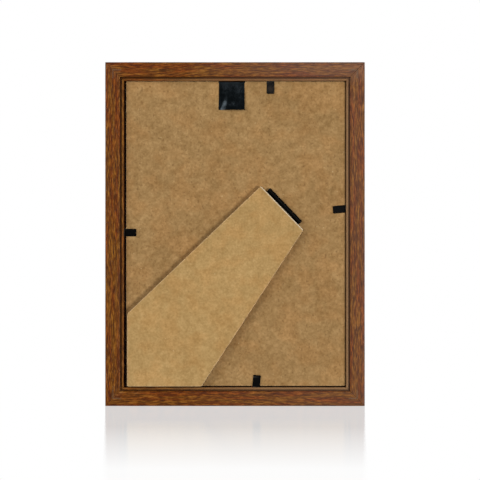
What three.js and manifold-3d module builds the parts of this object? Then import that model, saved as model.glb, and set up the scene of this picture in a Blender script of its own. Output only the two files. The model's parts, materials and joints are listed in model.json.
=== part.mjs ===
// Coin display frame: a mitred wood-look picture frame that holds a glazed tray of coin
// pockets, closed by a fibreboard back with bendable tabs and a hinged easel strut.
//
// Units are millimetres. +Z is up in portrait use, the display side faces -Y and the back
// faces +Y. The origin is the middle of the bottom rail's underside.

import * as THREE from 'three';
import { mergeVertices } from 'three/addons/utils/BufferGeometryUtils.js';
import Module from 'manifold-3d';

const wasm = await Module();
wasm.setup();

// ---- driving dimensions ------------------------------------------------------------

const FRAME = { width: 154, height: 204, depth: 18 };
const RAIL = {
  rebate: 11,            // from the outer edge to the rebate wall
  lip: 3,                // how far the front lip covers the glazing
  lipThickness: 3.5,
  grooveFrom: 8.7,       // groove in the back face that sets off the raw inner rib
  grooveTo: 9.8,
  grooveDepth: 1.3,
  ribDrop: 0.5,          // how far the rib lies below the back face
  frontRound: 2.2,       // rounded outer front edge
  backRound: 0.5,
  sightBevel: 1.2,
  mitreGap: 0.05,        // at each mitre face
};

const OPENING = {        // space inside the rebate walls
  halfWidth: FRAME.width / 2 - RAIL.rebate,
  bottom: RAIL.rebate,
  top: FRAME.height - RAIL.rebate,
};
const BACK_Y = FRAME.depth / 2;
const FRONT_Y = -FRAME.depth / 2;

// Layers in the rebate, from the front lip to the back. Each is [front y, thickness].
const LAYER_GAP = 0.1;
const GLAZING = { y: FRONT_Y + RAIL.lipThickness + LAYER_GAP, thickness: 2 };
const MOUNT = { y: GLAZING.y + GLAZING.thickness + LAYER_GAP, thickness: 1.4 };
const TRAY = { y: MOUNT.y + MOUNT.thickness + LAYER_GAP, thickness: 4 };
const LINER = { y: TRAY.y + TRAY.thickness + LAYER_GAP, thickness: 0.7 };
const BOARD = { y: 3.4, thickness: 2.5 };
const BOARD_BACK = BOARD.y + BOARD.thickness;

// The backing board is a loose fit and sits up and to one side in the opening.
const BOARD_EDGES = { left: -65.6, right: 64.75, bottom: 11.75, top: 192.85 };
const INSERT_CLEARANCE = 0.5;   // around the glazing, mount, tray and liner

const COINS = { columns: 2, rows: 3, pitchX: 54, pitchZ: 55, window: 41, windowBack: 39.4, pocket: 46.5 };

const TAB = {
  width: 4.5,
  thickness: 0.45,
  embedded: 6,            // length pressed into the rail
  stub: 0.25,             // length of the fixed part outside the rail
  axis: 0.55,             // from the rebate wall to the bend line
  endRound: 0.6,
  lift: 0.05,             // from the board to a closed tab
};
const TAB_SLOT = { clearance: 0.06, sideClearance: 0.08, endClearance: 0.1 };
// wall: which rebate wall the tab comes out of; along: its place on that wall;
// reach: how far it covers the board; tilt: degrees about Y.
const TABS = [
  { name: 'top', wall: 'top', along: -21.1, reach: 7.6, tilt: 0 },
  { name: 'left', wall: 'left', along: 117.1, reach: 7.8, tilt: 5 },
  { name: 'right', wall: 'right', along: 102.9, reach: 7.3, tilt: 0 },
  { name: 'bottom', wall: 'bottom', along: -12.5, reach: 7.2, tilt: -5 },
];

const V_NAIL = { inset: 4.4, leg: 5, thickness: 0.35, depth: 8, proud: 0.1, clearance: 0.06 };

const PULL_TAB = {
  x: 1.95,
  width: 15.1,
  flare: 0.5,             // how much wider the free end is
  tip: 175.8,             // z of the free end
  thickness: 0.25,
  innerLeg: 14,           // length glued to the front of the board
  bendBelowTop: 1.4,      // bend line below the board's top edge
  notch: 0.8,             // depth of the board's notch that the tab passes through
  notchSide: 0.4,         // from the tab to each side of the notch
  lift: 0.08,             // from the board to the tab
  bendGap: 0.05,          // from the glued end to the free end
  curl: 0.9,              // how far the free end stands off the board
};

const HINGE = {
  x: -29.5,               // middle of the pin
  z: 118.7,
  tilt: 46,               // degrees, pin axis up from +X
  length: 27.2,
  knuckleRadius: 1.3,
  pinRadius: 0.6,
  pinOverhang: 0.2,       // at each end
  boreRadius: 0.7,
  leafThickness: 0.4,
  leafInset: 0.2,         // from the knuckles to the flat of a leaf
  neckOverlap: 0.5,       // how far a neck runs into the flat of its leaf
  leafReach: 14,
  leafWidth: 26,
  middleKnuckle: 12,
  knuckleGap: 0.15,
  axisAboveBoard: 1.36,
  restAngle: 0.5,         // how far the strut stands open
  facets: 20,
};
const STRUT = { thickness: 2.75, underside: 0.26, cornerRadius: 1 };
// Strut outline in the plane of the board, [x, z], when the strut is closed.
const STRUT_OUTLINE = [[-15.3, 130.5], [-40.6, 104.4], [19.8, 11.7], [63.9, 11.7], [63.9, 54.8]];

const TACK = {
  head: 1.4,              // radius
  headThickness: 0.22,
  shank: 0.55,            // radius
  shankLength: 1.7,
  seat: 0.05,             // from the head to its leaf
  clearance: 0.06,
  facets: 12,
};
// Where the tacks sit on each leaf: distance from the pin and half the space between them.
const TACK_ROWS = { board: { reach: 6, half: 8 }, strut: { reach: 10.5, half: 5 } };

// ---- materials ---------------------------------------------------------------------

const finish = (color, roughness, metalness = 0) =>
  new THREE.MeshStandardMaterial({ color, roughness, metalness });

const materials = {
  railWood: finish(0x6b3f23, 0.5),
  steel: finish(0xb9b6ae, 0.4, 0.9),
  glass: finish(0xdfe9ea, 0.05),
  mountBoard: finish(0x2a2d3a, 0.9),
  trayFoam: finish(0x1d1f26, 0.95),
  felt: finish(0x1c2030, 0.95),
  fibreboard: finish(0xa37f50, 0.85),
  strutBoard: finish(0xb08c5a, 0.85),
  blackTab: finish(0x1a1a1b, 0.5, 0.3),
  blackVinyl: finish(0x101215, 0.25),
  blackHinge: finish(0x151414, 0.45, 0.4),
};

// ---- solid helpers -----------------------------------------------------------------

// A closed geometry as a solid for cutting and joining.
function toSolid(geometry) {
  const bare = geometry.clone();
  bare.deleteAttribute('normal');
  bare.deleteAttribute('uv');
  const merged = mergeVertices(bare, 1e-5);
  return new wasm.Manifold(new wasm.Mesh({
    numProp: 3,
    vertProperties: new Float32Array(merged.attributes.position.array),
    triVerts: new Uint32Array(merged.index.array),
  }));
}

function toGeometry(solid) {
  const mesh = solid.getMesh();
  const geometry = new THREE.BufferGeometry();
  geometry.setAttribute('position', new THREE.BufferAttribute(mesh.vertProperties, 3));
  geometry.setIndex(new THREE.BufferAttribute(mesh.triVerts, 1));
  geometry.computeVertexNormals();
  return geometry;
}

function cut(geometry, cutters) {
  let solid = toSolid(geometry);
  for (const cutter of cutters) {
    solid = solid.subtract(toSolid(cutter));
  }
  return toGeometry(solid);
}

function join(geometries) {
  let solid = toSolid(geometries[0]);
  for (const geometry of geometries.slice(1)) {
    solid = solid.add(toSolid(geometry));
  }
  return toGeometry(solid);
}

// Extrudes a shape drawn in [x, z] from y to y + thickness.
function plate(shape, y, thickness, curveSegments = 12) {
  const geometry = new THREE.ExtrudeGeometry(shape, { depth: thickness, bevelEnabled: false, curveSegments });
  geometry.rotateX(Math.PI / 2);
  geometry.translate(0, y + thickness, 0);
  return geometry;
}

function rectangle(x0, z0, x1, z1) {
  return new THREE.Shape([
    new THREE.Vector2(x0, z0),
    new THREE.Vector2(x1, z0),
    new THREE.Vector2(x1, z1),
    new THREE.Vector2(x0, z1),
  ]);
}

// A box given by its lowest and highest corners.
function block(x0, y0, z0, x1, y1, z1) {
  const geometry = new THREE.BoxGeometry(x1 - x0, y1 - y0, z1 - z0);
  geometry.translate((x0 + x1) / 2, (y0 + y1) / 2, (z0 + z1) / 2);
  return geometry;
}

// A polygon in [x, z] with every corner rounded to the same radius.
function roundedPolygon(points, radius) {
  const corners = points.map(([x, z]) => new THREE.Vector2(x, z));
  const shape = new THREE.Shape();
  corners.forEach((corner, i) => {
    const before = corners.at(i - 1);
    const after = corners[(i + 1) % corners.length];
    const start = corner.clone().add(before.clone().sub(corner).setLength(radius));
    const end = corner.clone().add(after.clone().sub(corner).setLength(radius));
    if (i === 0) {
      shape.moveTo(start.x, start.y);
    } else {
      shape.lineTo(start.x, start.y);
    }
    shape.quadraticCurveTo(corner.x, corner.y, end.x, end.y);
  });
  shape.closePath();
  return shape;
}

function piece(name, geometry, material) {
  const mesh = new THREE.Mesh(geometry, material);
  mesh.name = name;
  return mesh;
}

// ---- rails -------------------------------------------------------------------------

// Rail section as [distance in from the outer edge, y].
function railSection() {
  const sight = RAIL.rebate + RAIL.lip;
  const ledge = FRONT_Y + RAIL.lipThickness;
  const section = new THREE.Path();
  section.moveTo(0, BACK_Y - RAIL.backRound);
  section.lineTo(0, FRONT_Y + RAIL.frontRound);
  section.quadraticCurveTo(0, FRONT_Y, RAIL.frontRound, FRONT_Y);
  section.lineTo(sight - RAIL.sightBevel, FRONT_Y);
  section.lineTo(sight, FRONT_Y + RAIL.sightBevel);
  section.lineTo(sight, ledge);
  section.lineTo(RAIL.rebate, ledge);
  section.lineTo(RAIL.rebate, BACK_Y - RAIL.ribDrop);
  section.lineTo(RAIL.grooveTo, BACK_Y - RAIL.ribDrop);
  section.lineTo(RAIL.grooveTo, BACK_Y - RAIL.grooveDepth);
  section.lineTo(RAIL.grooveFrom, BACK_Y - RAIL.grooveDepth);
  section.lineTo(RAIL.grooveFrom, BACK_Y);
  section.lineTo(RAIL.backRound, BACK_Y);
  section.quadraticCurveTo(0, BACK_Y, 0, BACK_Y - RAIL.backRound);
  return section.getPoints(4);
}

// A rail lying along X with its outer edge on z = 0 and both ends cut at 45 degrees.
function railBlank(length) {
  const shape = new THREE.Shape(railSection());
  const geometry = new THREE.ExtrudeGeometry(shape, { depth: 1, bevelEnabled: false });
  const position = geometry.attributes.position;
  for (let i = 0; i < position.count; i += 1) {
    const inward = position.getX(i);
    const y = position.getY(i);
    const side = position.getZ(i) < 0.5 ? 1 : -1;
    position.setXYZ(i, side * (length / 2 - inward - RAIL.mitreGap), y, inward);
  }
  return geometry;
}

const RAIL_PLACES = [
  { name: 'rail_bottom', length: FRAME.width, turn: 0, at: [0, 0] },
  { name: 'rail_left', length: FRAME.height, turn: Math.PI / 2, at: [-FRAME.width / 2, FRAME.height / 2] },
  { name: 'rail_top', length: FRAME.width, turn: Math.PI, at: [0, FRAME.height] },
  { name: 'rail_right', length: FRAME.height, turn: -Math.PI / 2, at: [FRAME.width / 2, FRAME.height / 2] },
];

function rail({ name, length, turn, at }) {
  const blank = railBlank(length);
  blank.rotateY(turn);
  blank.translate(at[0], 0, at[1]);
  const wall = name.replace('rail_', '');
  const slots = TABS.filter((tab) => tab.wall === wall).map(tabSlot);
  const nailSlots = cornerNails().map(({ x, z, sign }) => nailShape(x, z, sign, V_NAIL.clearance));
  return piece(name, cut(blank, [...slots, ...nailSlots]), materials.railWood);
}

// ---- corner nails ------------------------------------------------------------------

// Each nail's apex points to the frame's outer corner and its legs run along the rails.
function cornerNails() {
  const x = FRAME.width / 2 - V_NAIL.inset;
  const low = V_NAIL.inset;
  const high = FRAME.height - V_NAIL.inset;
  return [
    { name: 'v_nail_bottom_left', x: -x, z: low, sign: [1, 1] },
    { name: 'v_nail_bottom_right', x, z: low, sign: [-1, 1] },
    { name: 'v_nail_top_left', x: -x, z: high, sign: [1, -1] },
    { name: 'v_nail_top_right', x, z: high, sign: [-1, -1] },
  ];
}

function nailShape(x, z, [sx, sz], clearance) {
  const outer = -clearance;
  const inner = V_NAIL.thickness + clearance;
  const end = V_NAIL.leg + clearance;
  const points = [
    [outer, outer], [end, outer], [end, inner], [inner, inner], [inner, end], [outer, end],
  ].map(([u, v]) => new THREE.Vector2(x + sx * u, z + sz * v));
  const bottom = BACK_Y - V_NAIL.depth - clearance;
  const top = clearance > 0 ? BACK_Y + 1 : BACK_Y + V_NAIL.proud;
  return plate(new THREE.Shape(points), bottom, top - bottom);
}

function nail({ name, x, z, sign }) {
  return piece(name, nailShape(x, z, sign, 0), materials.steel);
}

// ---- layers in the rebate ----------------------------------------------------------

function insertOutline() {
  return rectangle(
    -OPENING.halfWidth + INSERT_CLEARANCE,
    OPENING.bottom + INSERT_CLEARANCE,
    OPENING.halfWidth - INSERT_CLEARANCE,
    OPENING.top - INSERT_CLEARANCE,
  );
}

function coinCentres() {
  const middle = (OPENING.bottom + OPENING.top) / 2;
  const centres = [];
  for (let row = 0; row < COINS.rows; row += 1) {
    for (let column = 0; column < COINS.columns; column += 1) {
      centres.push([
        (column - (COINS.columns - 1) / 2) * COINS.pitchX,
        middle + (row - (COINS.rows - 1) / 2) * COINS.pitchZ,
      ]);
    }
  }
  return centres;
}

function glazing() {
  return piece('glazing', plate(insertOutline(), GLAZING.y, GLAZING.thickness), materials.glass);
}

// A cone frustum along Y, for the bevel-cut windows and the pockets.
function roundCutter(x, z, frontDiameter, backDiameter, y, thickness) {
  const slope = (backDiameter - frontDiameter) / 2 / thickness;
  const over = 0.5;
  const cutter = new THREE.CylinderGeometry(
    backDiameter / 2 + slope * over,
    frontDiameter / 2 - slope * over,
    thickness + 2 * over,
    40,
  );
  cutter.translate(x, y + thickness / 2, z);
  return cutter;
}

function faceMount() {
  const sheet = plate(insertOutline(), MOUNT.y, MOUNT.thickness);
  const windows = coinCentres().map(([x, z]) =>
    roundCutter(x, z, COINS.window, COINS.windowBack, MOUNT.y, MOUNT.thickness));
  return piece('face_mount', cut(sheet, windows), materials.mountBoard);
}

function coinTray() {
  const sheet = plate(insertOutline(), TRAY.y, TRAY.thickness);
  const pockets = coinCentres().map(([x, z]) =>
    roundCutter(x, z, COINS.pocket, COINS.pocket, TRAY.y, TRAY.thickness));
  return piece('coin_tray', cut(sheet, pockets), materials.trayFoam);
}

function linerCard() {
  return piece('liner_card', plate(insertOutline(), LINER.y, LINER.thickness), materials.felt);
}

function backingBoard() {
  const { left, right, bottom, top } = BOARD_EDGES;
  const sheet = plate(rectangle(left, bottom, right, top), BOARD.y, BOARD.thickness);
  const half = PULL_TAB.width / 2 + PULL_TAB.notchSide;
  const notch = block(
    PULL_TAB.x - half, BOARD.y - 1, top - PULL_TAB.notch,
    PULL_TAB.x + half, BOARD_BACK + 1, top + 1,
  );
  const holes = boardTackShapes(TACK.clearance);
  for (const hole of holes) {
    hole.applyMatrix4(hingeFrame());
  }
  return piece('backing_board', cut(sheet, [notch, ...holes]), materials.fibreboard);
}

// ---- bendable tabs -----------------------------------------------------------------

// A tab's own frame: x out of the wall over the board, y towards the back, z across.
const WALLS = {
  top: { place: (along) => [along, OPENING.top], turn: Math.PI / 2 },
  bottom: { place: (along) => [along, OPENING.bottom], turn: -Math.PI / 2 },
  left: { place: (along) => [-OPENING.halfWidth, along], turn: 0 },
  right: { place: (along) => [OPENING.halfWidth, along], turn: Math.PI },
};
const TAB_Y = BOARD_BACK + TAB.lift + TAB.thickness / 2;

function placeTab(object, tab) {
  const { place, turn } = WALLS[tab.wall];
  const [x, z] = place(tab.along);
  object.rotateY(turn + THREE.MathUtils.degToRad(tab.tilt));
  if (object.isBufferGeometry) {
    object.translate(x, TAB_Y, z);
  } else {
    object.position.set(x, TAB_Y, z);
  }
  return object;
}

function tabSlot(tab) {
  const halfThick = TAB.thickness / 2 + TAB_SLOT.clearance;
  const halfWide = TAB.width / 2 + TAB_SLOT.sideClearance;
  const end = -TAB.embedded - TAB_SLOT.endClearance;
  const slot = block(end, -halfThick, -halfWide, TAB.width, halfThick, halfWide);
  return placeTab(slot, tab);
}

function tabRoot(tab) {
  const halfThick = TAB.thickness / 2;
  const halfWide = TAB.width / 2;
  const blade = block(-TAB.embedded, -halfThick, -halfWide, TAB.stub, halfThick, halfWide);
  return placeTab(piece(`tab_root_${tab.name}`, blade, materials.blackTab), tab);
}

// The free end of a tab: a flat blade with a half-round edge on the bend line.
function tabFlap(tab) {
  const half = TAB.width / 2;
  const round = TAB.endRound;
  const outline = new THREE.Shape();
  outline.moveTo(TAB.axis, -half);
  outline.lineTo(tab.reach - round, -half);
  outline.quadraticCurveTo(tab.reach, -half, tab.reach, -half + round);
  outline.lineTo(tab.reach, half - round);
  outline.quadraticCurveTo(tab.reach, half, tab.reach - round, half);
  outline.lineTo(TAB.axis, half);
  outline.closePath();
  const blade = plate(outline, -TAB.thickness / 2, TAB.thickness, 5);
  const bend = bar(TAB.thickness / 2, TAB.width, 12);
  bend.rotateY(Math.PI / 2);
  bend.translate(TAB.axis, 0, 0);
  const geometry = join([blade, bend]);
  return placeTab(piece(`tab_flap_${tab.name}`, geometry, materials.blackTab), tab);
}

// ---- pull tab ----------------------------------------------------------------------

const PULL_TAB_BEND = {
  y: BOARD_BACK + PULL_TAB.lift + PULL_TAB.thickness / 2,
  z: BOARD_EDGES.top - PULL_TAB.bendBelowTop,
};

// Extrudes an outline drawn in [y, z] across the tab's width.
function acrossTab(points) {
  const shape = new THREE.Shape(points.map(([y, z]) => new THREE.Vector2(-z, y)));
  const geometry = new THREE.ExtrudeGeometry(shape, { depth: PULL_TAB.width, bevelEnabled: false });
  geometry.rotateY(Math.PI / 2);
  geometry.translate(PULL_TAB.x - PULL_TAB.width / 2, 0, 0);
  return geometry;
}

// The glued end: up the front of the board and over its top edge to the bend line.
function pullTabAnchor() {
  const front = BOARD.y - PULL_TAB.lift - PULL_TAB.thickness;
  const back = BOARD_BACK + PULL_TAB.lift + PULL_TAB.thickness;
  const under = BOARD_EDGES.top - PULL_TAB.notch + PULL_TAB.lift;
  const over = under + PULL_TAB.thickness;
  const innerEnd = under - PULL_TAB.innerLeg;
  const outerEnd = PULL_TAB_BEND.z + PULL_TAB.thickness / 2 + PULL_TAB.bendGap;
  return piece('pull_tab_anchor', acrossTab([
    [front, innerEnd],
    [front, over],
    [back, over],
    [back, outerEnd],
    [back - PULL_TAB.thickness, outerEnd],
    [back - PULL_TAB.thickness, under],
    [front + PULL_TAB.thickness, under],
    [front + PULL_TAB.thickness, innerEnd],
  ]), materials.blackVinyl);
}

// The free end, rounded on the bend line, curling off the board towards its tip.
function pullTabFlap() {
  const half = PULL_TAB.thickness / 2;
  const reach = PULL_TAB_BEND.z - PULL_TAB.tip;
  const steps = 8;
  const centre = (k) => [
    PULL_TAB_BEND.y + PULL_TAB.curl * (k / steps) ** 3,
    PULL_TAB_BEND.z - (reach * k) / steps,
  ];
  const indices = [...Array(steps + 1).keys()];
  const backSide = indices.map(centre).map(([y, z]) => [y + half, z]);
  const frontSide = indices.map(centre).map(([y, z]) => [y - half, z]).reverse();
  const cap = [-45, 0, 45].map((degrees) => {
    const angle = THREE.MathUtils.degToRad(degrees);
    return [PULL_TAB_BEND.y + half * Math.sin(angle), PULL_TAB_BEND.z + half * Math.cos(angle)];
  });
  const geometry = acrossTab([...backSide, ...frontSide, ...cap]);
  const position = geometry.attributes.position;
  for (let i = 0; i < position.count; i += 1) {
    const along = Math.max(0, (PULL_TAB_BEND.z - position.getZ(i)) / reach);
    const widen = 1 + (PULL_TAB.flare * along) / PULL_TAB.width;
    position.setX(i, PULL_TAB.x + (position.getX(i) - PULL_TAB.x) * widen);
  }
  return piece('pull_tab_flap', geometry, materials.blackVinyl);
}

// ---- strut hinge -------------------------------------------------------------------

// In the hinge's own frame x runs along the pin, y towards the back, and the strut hangs
// towards -z.
function hingeFrame() {
  const turn = new THREE.Matrix4().makeRotationY(-THREE.MathUtils.degToRad(HINGE.tilt));
  return new THREE.Matrix4()
    .makeTranslation(HINGE.x, BOARD_BACK + HINGE.axisAboveBoard, HINGE.z)
    .multiply(turn);
}

// A round bar lying along x, centred on the pin axis.
function bar(radius, length, facets = HINGE.facets) {
  const geometry = new THREE.CylinderGeometry(radius, radius, length, facets);
  geometry.rotateZ(Math.PI / 2);
  return geometry;
}

function knuckle(from, to) {
  const geometry = bar(HINGE.knuckleRadius, to - from);
  geometry.translate((from + to) / 2, 0, 0);
  return geometry;
}

// A hinge leaf: a flat plate, a neck to each of its knuckles, and the knuckles, bored
// for the pin and pierced for the tacks.
function leaf(name, y, knuckles, tackHoles) {
  const { leafThickness, leafReach, leafWidth, knuckleRadius, boreRadius, length } = HINGE;
  const near = -(knuckleRadius + HINGE.leafInset);
  const halfLeaf = leafWidth / 2;
  const body = [block(-halfLeaf, y, -leafReach, halfLeaf, y + leafThickness, near)];
  for (const [from, to] of knuckles) {
    const neckFrom = Math.max(from, -halfLeaf);
    const neckTo = Math.min(to, halfLeaf);
    body.push(block(neckFrom, y, near - HINGE.neckOverlap, neckTo, y + leafThickness, -boreRadius / 2));
    body.push(knuckle(from, to));
  }
  const bore = bar(boreRadius, length * 2);
  return piece(name, cut(join(body), [bore, ...tackHoles]), materials.blackHinge);
}

function boardLeaf() {
  const half = HINGE.length / 2;
  const inner = HINGE.middleKnuckle / 2 + HINGE.knuckleGap;
  const knuckles = [[-half, -inner], [inner, half]];
  return leaf('hinge_board_leaf', -HINGE.knuckleRadius, knuckles, boardTackShapes(TACK.clearance));
}

function strutLeaf() {
  const half = HINGE.middleKnuckle / 2;
  const y = -HINGE.leafThickness / 2;
  return leaf('hinge_strut_leaf', y, [[-half, half]], strutTackShapes(TACK.clearance));
}

function hingePin() {
  return piece('hinge_pin', bar(HINGE.pinRadius, HINGE.length + 2 * HINGE.pinOverhang), materials.steel);
}

// A tack standing on y = 0 with its head below and its point towards +y.
function tackShape(clearance) {
  const { head, headThickness, shank, shankLength, facets } = TACK;
  const profile = [
    [0, -headThickness - clearance],
    [head * 0.8 + clearance, -headThickness - clearance],
    [head + clearance, -headThickness * 0.4],
    [head + clearance, clearance],
    [shank + clearance, clearance],
    [shank + clearance, shankLength - shank],
    [0, shankLength + clearance],
  ].map(([radius, y]) => new THREE.Vector2(radius, y));
  return new THREE.LatheGeometry(profile, facets);
}

// Tacks through the board leaf into the board, heads towards the strut.
function boardTackShapes(clearance) {
  const { reach, half } = TACK_ROWS.board;
  const y = -HINGE.knuckleRadius + HINGE.leafThickness + TACK.seat;
  return [-half, half].map((x) => {
    const tack = tackShape(clearance);
    tack.rotateX(Math.PI);
    tack.translate(x, y, -reach);
    return tack;
  });
}

// Tacks through the strut leaf into the strut, heads towards the board.
function strutTackShapes(clearance) {
  const { reach, half } = TACK_ROWS.strut;
  const y = -HINGE.leafThickness / 2 - TACK.seat;
  return [-half, half].map((x) => {
    const tack = tackShape(clearance);
    tack.translate(x, y, -reach);
    return tack;
  });
}

function tacks(prefix, shapes) {
  return shapes.map((shape, i) => piece(`${prefix}_${i + 1}`, shape, materials.steel));
}

// ---- strut -------------------------------------------------------------------------

function strutPanel() {
  const tilt = THREE.MathUtils.degToRad(HINGE.tilt);
  const outline = STRUT_OUTLINE.map(([x, z]) => {
    const across = x - HINGE.x;
    const up = z - HINGE.z;
    return [
      across * Math.cos(tilt) + up * Math.sin(tilt),
      -across * Math.sin(tilt) + up * Math.cos(tilt),
    ];
  });
  const shape = roundedPolygon(outline, STRUT.cornerRadius);
  const panel = plate(shape, STRUT.underside, STRUT.thickness, 4);
  return piece('strut_panel', cut(panel, strutTackShapes(TACK.clearance)), materials.strutBoard);
}

function strutAssembly() {
  const strut = new THREE.Group();
  strut.add(strutPanel());
  strut.add(strutLeaf());
  strut.add(...tacks('strut_tack', strutTackShapes(0)));
  strut.rotation.x = THREE.MathUtils.degToRad(HINGE.restAngle);
  return strut;
}

function easel() {
  const hinge = new THREE.Group();
  hinge.add(boardLeaf());
  hinge.add(hingePin());
  hinge.add(...tacks('board_tack', boardTackShapes(0)));
  hinge.add(strutAssembly());
  hinge.applyMatrix4(hingeFrame());
  return hinge;
}

// ---- the whole frame ---------------------------------------------------------------

const group = new THREE.Group();
group.name = 'coin_display_frame';
group.add(...RAIL_PLACES.map(rail));
group.add(...cornerNails().map(nail));
group.add(glazing());
group.add(faceMount());
group.add(coinTray());
group.add(linerCard());
group.add(backingBoard());
group.add(...TABS.map(tabRoot));
group.add(...TABS.map(tabFlap));
group.add(pullTabAnchor());
group.add(pullTabFlap());
group.add(easel());

export default group;
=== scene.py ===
"""Looks for the coin display frame, seen from its back.

Every length is in metres in the row frame: +Z up, the display side faces -Y, the back
faces +Y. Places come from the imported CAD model; the constants below are surface details.
"""

import json
import math

import bmesh
import bpy
from mathutils import Matrix, Vector, geometry, noise


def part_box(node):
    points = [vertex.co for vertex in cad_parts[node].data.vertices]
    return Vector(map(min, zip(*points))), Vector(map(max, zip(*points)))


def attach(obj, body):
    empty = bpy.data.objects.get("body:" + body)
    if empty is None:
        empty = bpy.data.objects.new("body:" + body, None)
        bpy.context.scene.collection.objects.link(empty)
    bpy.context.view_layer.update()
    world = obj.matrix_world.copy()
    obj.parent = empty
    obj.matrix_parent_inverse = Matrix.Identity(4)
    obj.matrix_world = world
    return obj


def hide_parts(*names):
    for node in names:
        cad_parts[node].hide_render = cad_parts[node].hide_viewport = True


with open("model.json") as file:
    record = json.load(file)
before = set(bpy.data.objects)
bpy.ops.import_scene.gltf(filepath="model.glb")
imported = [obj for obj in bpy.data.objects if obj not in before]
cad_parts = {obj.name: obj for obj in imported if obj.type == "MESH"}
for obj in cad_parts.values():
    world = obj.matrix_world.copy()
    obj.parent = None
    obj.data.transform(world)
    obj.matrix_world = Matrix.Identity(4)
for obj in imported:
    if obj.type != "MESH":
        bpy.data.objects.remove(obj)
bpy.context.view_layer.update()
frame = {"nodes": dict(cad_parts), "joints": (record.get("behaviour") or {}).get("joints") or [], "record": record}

MM = 0.001
joints = {joint["name"]: joint for joint in frame["joints"]}


# ---- node helpers --------------------------------------------------------------------


def srgb(red, green, blue):
    """A display colour, 0 to 255 a channel, as a linear colour with alpha."""

    def linear(value):
        value /= 255
        return value / 12.92 if value <= 0.04045 else ((value + 0.055) / 1.055) ** 2.4

    return (linear(red), linear(green), linear(blue), 1.0)


class Nodes:
    """Short calls that add nodes to a tree."""

    def __init__(self, tree):
        self.tree = tree

    def node(self, kind, **settings):
        made = self.tree.nodes.new(kind)
        for key, value in settings.items():
            setattr(made, key, value)
        return made

    def feed(self, socket, value):
        """Links value to socket if it is a socket, else sets it."""
        if isinstance(value, bpy.types.NodeSocket):
            self.tree.links.new(value, socket)
        else:
            socket.default_value = value

    def position(self):
        return self.node("ShaderNodeTexCoord").outputs["Object"]

    def stretched(self, scale, vector=None, turn=(0, 0, 0)):
        mapping = self.node("ShaderNodeMapping")
        self.feed(mapping.inputs["Vector"], vector or self.position())
        mapping.inputs["Scale"].default_value = scale
        mapping.inputs["Rotation"].default_value = turn
        return mapping.outputs["Vector"]

    def noise(self, vector, scale=1.0, detail=4.0, roughness=0.5, distortion=0.0):
        texture = self.node("ShaderNodeTexNoise")
        self.feed(texture.inputs["Vector"], vector)
        texture.inputs["Scale"].default_value = scale
        texture.inputs["Detail"].default_value = detail
        texture.inputs["Roughness"].default_value = roughness
        texture.inputs["Distortion"].default_value = distortion
        return texture.outputs["Fac"]

    def math(self, operation, *values):
        made = self.node("ShaderNodeMath", operation=operation)
        for socket, value in zip(made.inputs, values):
            self.feed(socket, value)
        return made.outputs[0]

    def vector(self, operation, *values):
        made = self.node("ShaderNodeVectorMath", operation=operation)
        for socket, value in zip(made.inputs, values):
            self.feed(socket, value)
        is_number = operation in ("DOT_PRODUCT", "DISTANCE")
        return made.outputs["Value" if is_number else "Vector"]

    def between(self, value, low, high, start=0.0, end=1.0):
        """Maps low..high to start..end, clamped."""
        made = self.node("ShaderNodeMapRange")
        for name, given in (
            ("Value", value),
            ("From Min", low),
            ("From Max", high),
            ("To Min", start),
            ("To Max", end),
        ):
            self.feed(made.inputs[name], given)
        return made.outputs["Result"]

    def ramp(self, value, stops):
        made = self.node("ShaderNodeValToRGB")
        self.feed(made.inputs["Fac"], value)
        elements = made.color_ramp.elements
        while len(elements) < len(stops):
            elements.new(0.5)
        for element, (place, colour) in zip(elements, stops):
            element.position = place
            element.color = colour
        return made.outputs["Color"]

    def mix(self, amount, first, second, blend="MIX"):
        made = self.node("ShaderNodeMix", data_type="RGBA", blend_type=blend)
        self.feed(made.inputs["Factor"], amount)
        self.feed(made.inputs[6], first)
        self.feed(made.inputs[7], second)
        return made.outputs[2]

    def bump(self, height, depth, strength=1.0, after=None):
        made = self.node("ShaderNodeBump")
        made.inputs["Strength"].default_value = strength
        made.inputs["Distance"].default_value = depth
        self.feed(made.inputs["Height"], height)
        if after is not None:
            self.feed(made.inputs["Normal"], after)
        return made.outputs["Normal"]

    def split(self, vector=None):
        made = self.node("ShaderNodeSeparateXYZ")
        self.feed(made.inputs[0], vector or self.position())
        return made.outputs

    def pointiness(self):
        return self.node("ShaderNodeNewGeometry").outputs["Pointiness"]


class Shading(Nodes):
    """A new material and its nodes."""

    def __init__(self, name):
        self.material = bpy.data.materials.new(name)
        self.material.use_nodes = True
        super().__init__(self.material.node_tree)

    def finish(self, **inputs):
        """Feeds the shader's inputs, named with _ for a space, and returns the material."""
        shader = self.tree.nodes["Principled BSDF"]
        for name, value in inputs.items():
            self.feed(shader.inputs[name.replace("_", " ")], value)
        return self.material


# ---- places from the CAD -------------------------------------------------------------

MITRE_GAP = 0.05 * MM
outer_low, outer_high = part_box("rail_bottom")[0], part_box("rail_top")[1]
HALF_WIDTH = (outer_high.x - outer_low.x) / 2 + MITRE_GAP
TOP = outer_high.z
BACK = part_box("rail_bottom")[1].y
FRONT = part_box("rail_bottom")[0].y
RAIL_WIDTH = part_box("rail_bottom")[1].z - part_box("rail_bottom")[0].z
LIP = 3 * MM
REBATE = RAIL_WIDTH - LIP
GROOVE = (REBATE - 2.3 * MM, REBATE - 1.2 * MM)
GROOVE_DEPTH = 1.3 * MM
RIB_DROP = 0.5 * MM

nail_low, nail_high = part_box("v_nail_bottom_right")
NAIL_INSET = HALF_WIDTH - nail_high.x
NAIL_LEG = nail_high.x - nail_low.x

HINGE_AT = Vector(joints["strut_fold"]["pos_m"])
HINGE_AXIS = Vector(joints["strut_fold"]["axis"]).normalized()
LEAF_THICKNESS = 0.4 * MM
KNUCKLE_RADIUS = 1.3 * MM


# ---- materials -----------------------------------------------------------------------


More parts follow.
